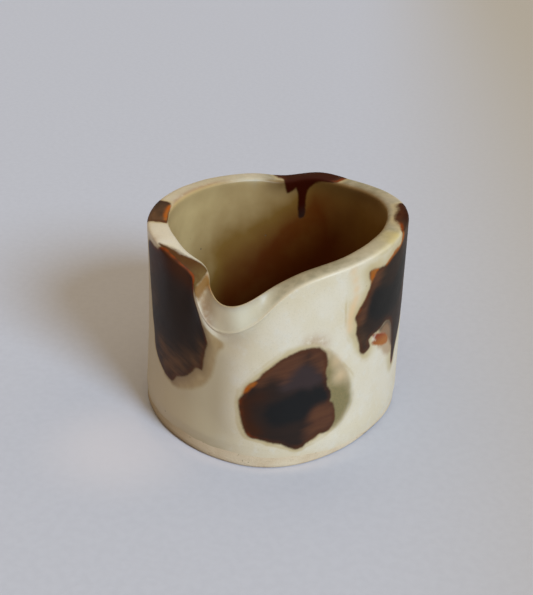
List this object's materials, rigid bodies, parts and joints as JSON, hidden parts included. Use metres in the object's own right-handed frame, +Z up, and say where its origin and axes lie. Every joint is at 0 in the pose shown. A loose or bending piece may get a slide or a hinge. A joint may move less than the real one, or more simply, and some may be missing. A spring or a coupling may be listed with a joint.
{
  "type": "pouring jug",
  "caption": "Small hand-built stoneware pouring jug with a pinched spout, an uneven rounded rim, cream glaze and brown glaze patches.",
  "frame": {"origin": "centre of the flat underside of the foot, on the surface that the jug stands on", "axes": "+Z up; the spout points along -Y, so +X is to the right of someone who faces the spout"},
  "size_m": [0.0822, 0.0854, 0.0651],
  "materials": {
    "clay": "bare fired stoneware, matt and slightly gritty",
    "cream_glaze": "satin cream glaze",
    "brown_glaze": "glossy dark brown glaze, amber where it runs thin"
  },
  "bodies": {
    "root": {"base_slab": "clay", "wall_slab": "clay", "corner_coil": "clay", "liner_glaze": "cream_glaze", "outer_glaze": "cream_glaze", "front_patch": "brown_glaze", "left_patch": "brown_glaze", "left_rim_patch": "brown_glaze", "right_patch": "brown_glaze", "back_patch": "brown_glaze"}
  },
  "joints": []
}
